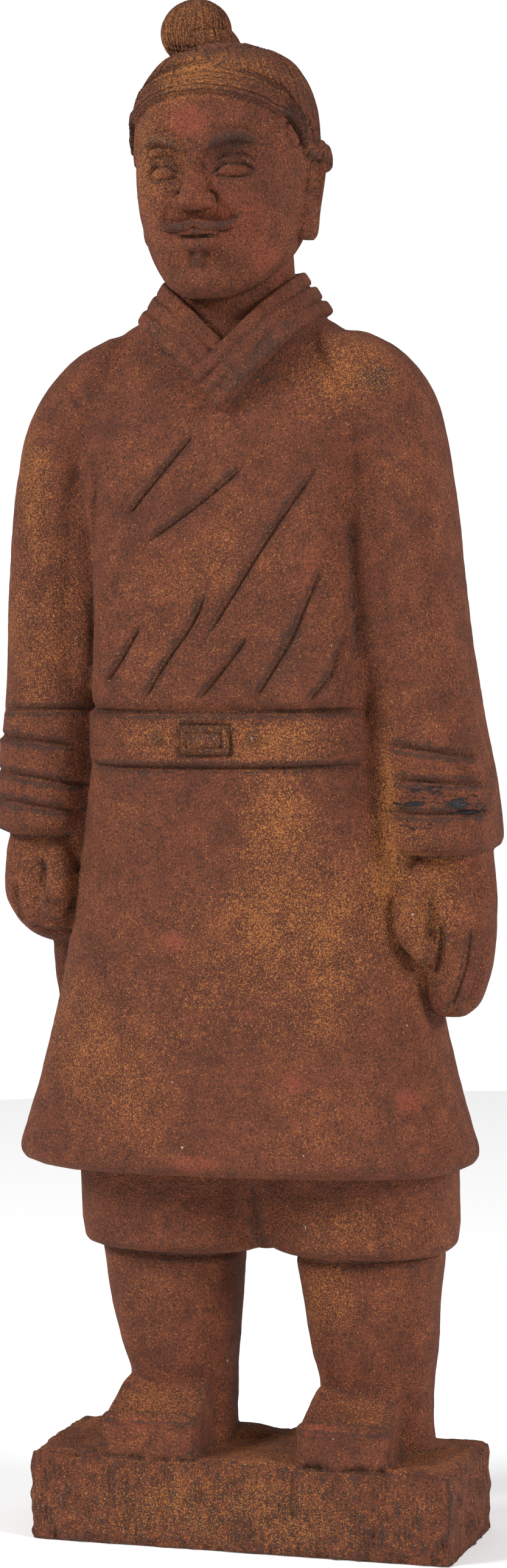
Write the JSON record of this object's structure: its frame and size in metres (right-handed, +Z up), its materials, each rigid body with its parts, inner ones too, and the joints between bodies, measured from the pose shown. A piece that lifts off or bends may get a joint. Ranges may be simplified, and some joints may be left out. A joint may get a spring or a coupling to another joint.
{
  "type": "terracotta warrior statue",
  "caption": "Standing robed warrior in one casting with its block plinth: topknot, crossed collar, belted knee-length robe, wrapped trousers and square-toed shoes, arms at the sides.",
  "frame": {"origin": "centre of the plinth's flat underside", "axes": "+Z up, -Y the way the figure faces, +X towards the figure's left hand"},
  "size_m": [0.2719, 0.1259, 0.8044],
  "materials": {
    "rust_terracotta": "matte sandy casting in iron-oxide red and brown with ochre speckle and dark rubbed patches"
  },
  "bodies": {
    "root": {"warrior_statue": "rust_terracotta"}
  },
  "joints": []
}
